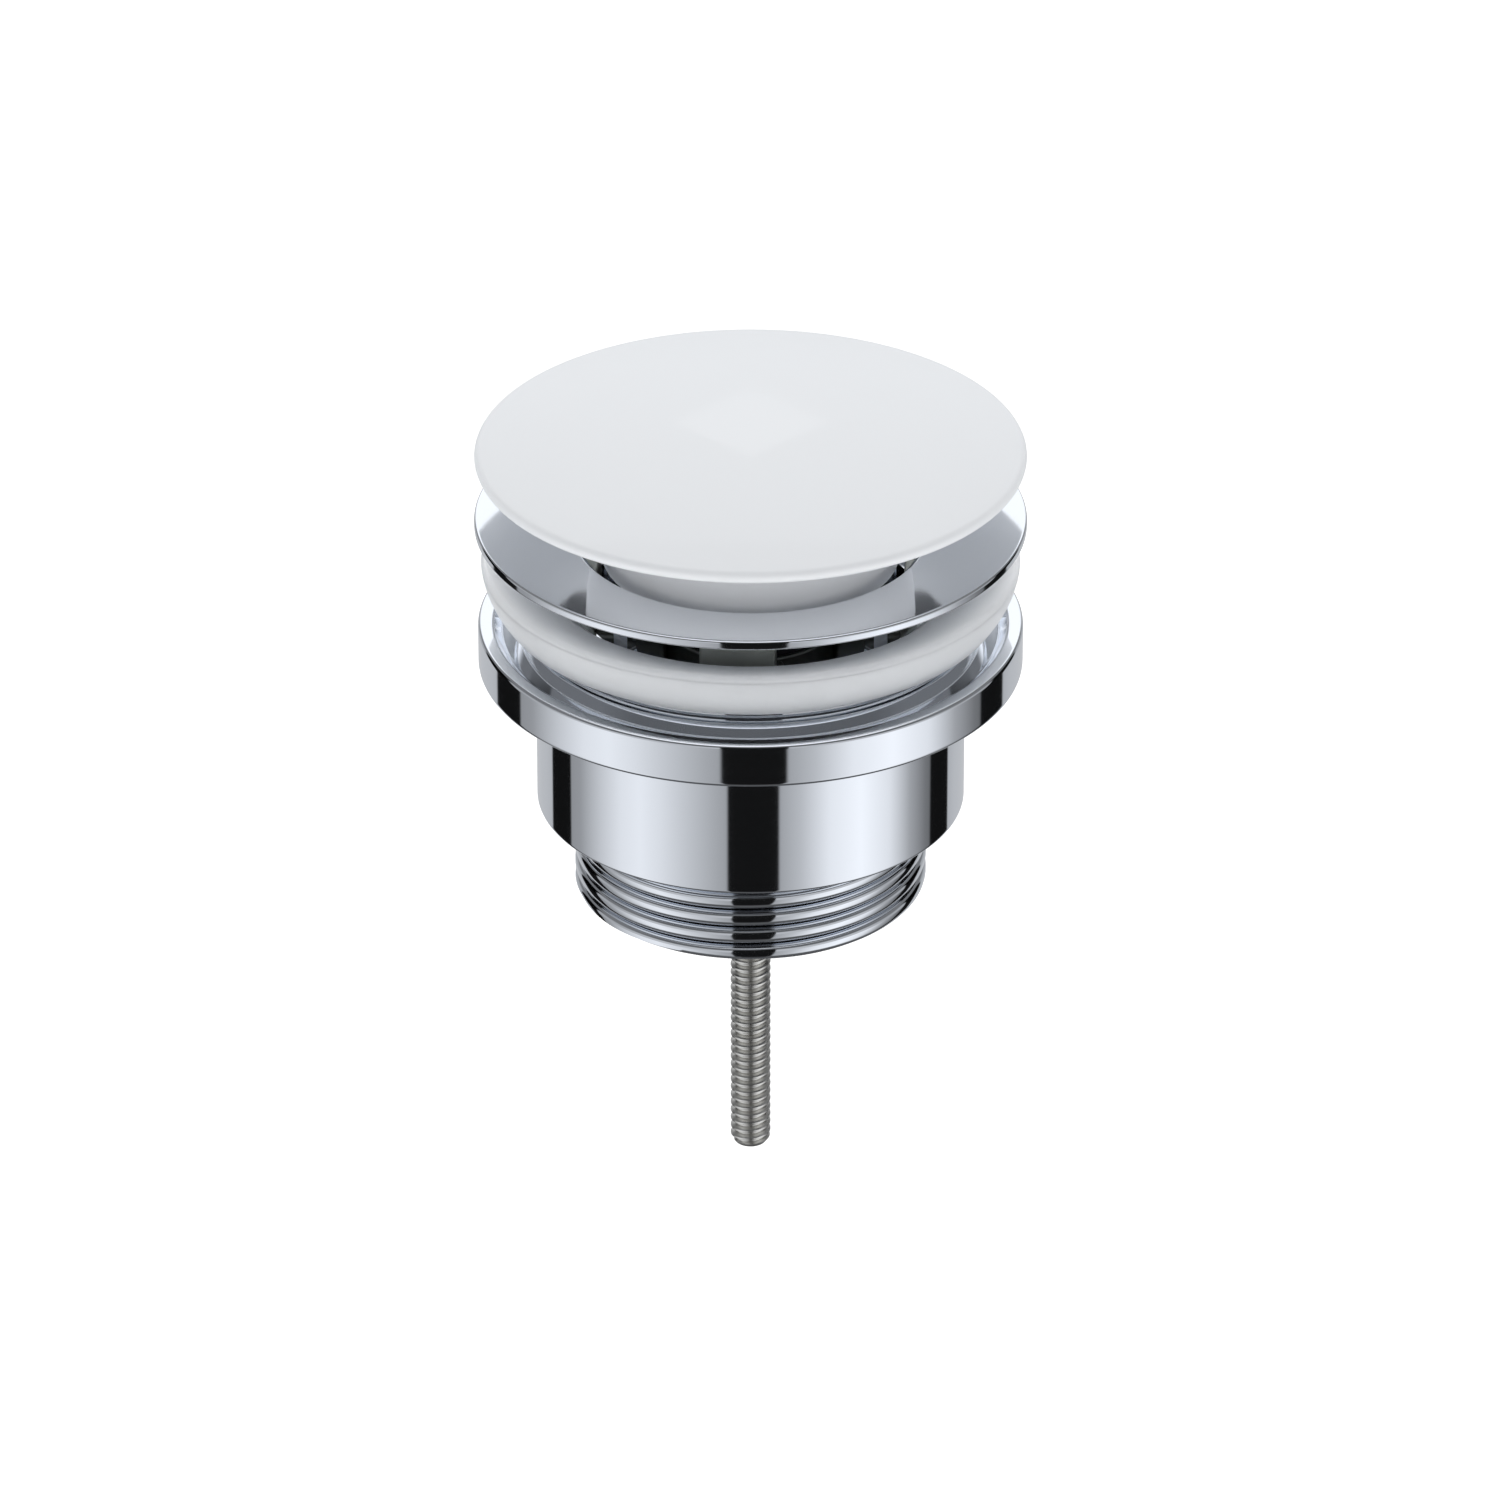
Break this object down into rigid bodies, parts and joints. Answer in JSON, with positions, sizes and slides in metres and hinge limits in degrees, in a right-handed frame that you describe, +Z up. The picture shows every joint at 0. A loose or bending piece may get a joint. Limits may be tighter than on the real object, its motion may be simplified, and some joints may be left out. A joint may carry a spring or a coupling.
{
  "type": "pop up basin waste",
  "caption": "Pop up basin waste: white ceramic cap on a push-push stem, chrome flanged dish with overflow windows, sealing ring, lower body with threaded tail and long clamping screw.",
  "frame": {"origin": "centre of the threaded tail's lower end", "axes": "+Z up along the common axis, towards the cap; +Y away from the viewer of the picture"},
  "size_m": [0.065, 0.065, 0.0971],
  "materials": {
    "ceramic_white": "matt glazed",
    "chrome": "polished chrome plate",
    "chrome_satin": "satin chrome plate",
    "silicone": "milky translucent silicone",
    "rubber_black": "moulded EPDM",
    "brass": "turned",
    "stainless": "drawn and rolled stainless",
    "plastic_white": "moulded acetal",
    "plastic_grey": "moulded acetal"
  },
  "bodies": {
    "body": {"lower_body": "chrome", "tail_spider": "chrome", "body_insert": "brass", "collar_gasket": "rubber_black"},
    "top": {"flange_cup": "chrome", "cup_cross": "chrome", "screw_washer": "stainless", "cartridge_housing": "chrome", "cartridge_gasket": "rubber_black", "guide_bush": "plastic_white", "stem_wiper": "rubber_black", "spacer_sleeve": "brass", "cartridge_plug": "brass", "return_spring": "stainless"},
    "stopper": {"cap": "ceramic_white", "cap_insert": "brass", "stopper_cup": "chrome_satin", "stopper_seal": "rubber_black", "stem": "brass", "lock_nut": "brass"},
    "index": {"index_ring": "plastic_grey"},
    "screw": {"clamp_screw": "stainless"},
    "seal": {"sealing_ring": "silicone"}
  },
  "joints": [
    {"name": "clamp_lift", "type": "slide", "parent": "body", "child": "top", "axis": [0, 0, 1], "range_m": [0, 0.04]},
    {"name": "screw_turn", "type": "hinge", "parent": "top", "child": "screw", "pos_m": [0, 0, 0.02], "axis": [0, 0, 1], "range_deg": [0, 13607]},
    {"name": "ring_lift", "type": "slide", "parent": "top", "child": "seal", "axis": [0, 0, 1], "range_m": [0, 0.0038]},
    {"name": "pop_up", "type": "slide", "parent": "top", "child": "stopper", "axis": [0, 0, 1], "range_m": [-0.0068, 0], "stiffness_N_per_m": 900, "springref_m": 0.005, "deforming": ["return_spring"]},
    {"name": "index_turn", "type": "hinge", "parent": "top", "child": "index", "pos_m": [0, 0, 0.032], "axis": [0, 0, 1], "range_deg": [0, 50]}
  ],
  "couplings": [
    {"joint": "screw_turn", "follows": "clamp_lift", "rad_per_m": 5936.9},
    {"joint": "index_turn", "follows": "pop_up", "rad_per_m": -128.33}
  ]
}
